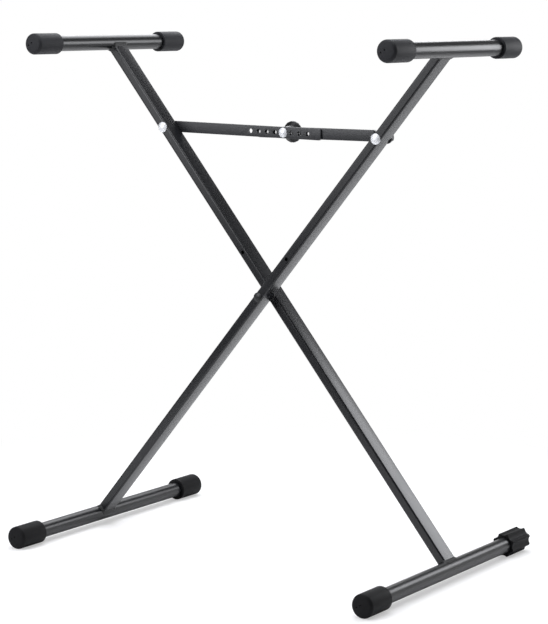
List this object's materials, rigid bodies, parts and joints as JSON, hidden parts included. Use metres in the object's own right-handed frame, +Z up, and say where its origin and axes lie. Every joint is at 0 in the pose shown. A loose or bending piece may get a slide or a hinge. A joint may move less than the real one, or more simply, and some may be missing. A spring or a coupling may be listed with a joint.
{
  "type": "folding keyboard stand",
  "caption": "Folding cross-legged keyboard stand of black steel tube, with rubber-capped support and floor bars and a strip brace locked by a hand knob.",
  "frame": {"origin": "on the floor straight below the main pivot, midway along the bars", "axes": "+Z up, +Y to the back along the bars, +X to the right across the stand"},
  "size_m": [0.714, 0.493, 0.8454],
  "materials": {
    "leg_powder_coat": "satin black powder coat",
    "bar_gloss_coat": "semi-gloss black powder coat",
    "grip_rubber": "matt black rubber",
    "foot_rubber": "matt black rubber",
    "black_oxide_steel": "blackened",
    "zinc_plated_steel": "bright zinc plate",
    "bush_nylon": "matt black nylon",
    "strip_powder_coat": "satin black powder coat",
    "knob_plastic": "moulded matt black",
    "insert_brass": "machined"
  },
  "bodies": {
    "front_frame": {"front_leg": "leg_powder_coat", "top_bar_right": "bar_gloss_coat", "foot_bar_left": "bar_gloss_coat", "weld_top_right": "leg_powder_coat", "weld_foot_left": "leg_powder_coat", "grip_cap_right_front": "grip_rubber", "grip_cap_right_rear": "grip_rubber", "foot_cap_left_front": "foot_rubber", "foot_cap_left_rear": "foot_rubber", "pivot_bush_front": "bush_nylon", "pivot_bolt": "black_oxide_steel", "pivot_spacer": "bush_nylon", "pivot_cap_nut": "black_oxide_steel", "brace_bolt_right": "zinc_plated_steel", "brace_washer_right": "black_oxide_steel", "brace_nut_right": "black_oxide_steel"},
    "rear_frame": {"rear_leg": "leg_powder_coat", "top_bar_left": "bar_gloss_coat", "foot_bar_right": "bar_gloss_coat", "weld_top_left": "leg_powder_coat", "weld_foot_right": "leg_powder_coat", "grip_cap_left_front": "grip_rubber", "grip_cap_left_rear": "grip_rubber", "foot_cap_right_front": "foot_rubber", "pivot_bush_rear": "bush_nylon", "brace_bolt_left": "zinc_plated_steel", "brace_washer_left": "zinc_plated_steel", "brace_nut_left": "zinc_plated_steel"},
    "brace_left": {"brace_strip_left": "strip_powder_coat", "clamp_bolt": "zinc_plated_steel"},
    "brace_right": {"brace_strip_right": "strip_powder_coat", "clamp_stud": "zinc_plated_steel", "clamp_washer": "zinc_plated_steel"},
    "clamp_knob": {"clamp_knob": "knob_plastic", "knob_insert": "insert_brass"},
    "levelling_cap": {"levelling_cap": "foot_rubber"}
  },
  "joints": [
    {"name": "main_fold", "type": "hinge", "parent": "front_frame", "child": "rear_frame", "pos_m": [0, 0, 0.42547], "axis": [0, 1, 0], "range_deg": [0, 74]},
    {"name": "brace_left_swing", "type": "hinge", "parent": "rear_frame", "child": "brace_left", "pos_m": [-0.21997, 0.0347, 0.68995], "axis": [0, 1, 0], "range_deg": [0, 42.7]},
    {"name": "brace_right_swing", "type": "hinge", "parent": "front_frame", "child": "brace_right", "pos_m": [0.21997, 0.0007, 0.68995], "axis": [0, 1, 0], "range_deg": [-53.8, 0]},
    {"name": "knob_turn", "type": "hinge", "parent": "brace_right", "child": "clamp_knob", "pos_m": [0.0016, 0.05, 0.68805], "axis": [0, 1, 0], "continuous": true},
    {"name": "levelling_turn", "type": "hinge", "parent": "rear_frame", "child": "levelling_cap", "pos_m": [0.33826, 0.217, 0.01875], "axis": [0, 1, 0], "continuous": true}
  ],
  "couplings": [
    {"joint": "brace_left_swing", "follows": "main_fold", "ratio": 0.57674},
    {"joint": "brace_right_swing", "follows": "main_fold", "ratio": -0.72657}
  ]
}
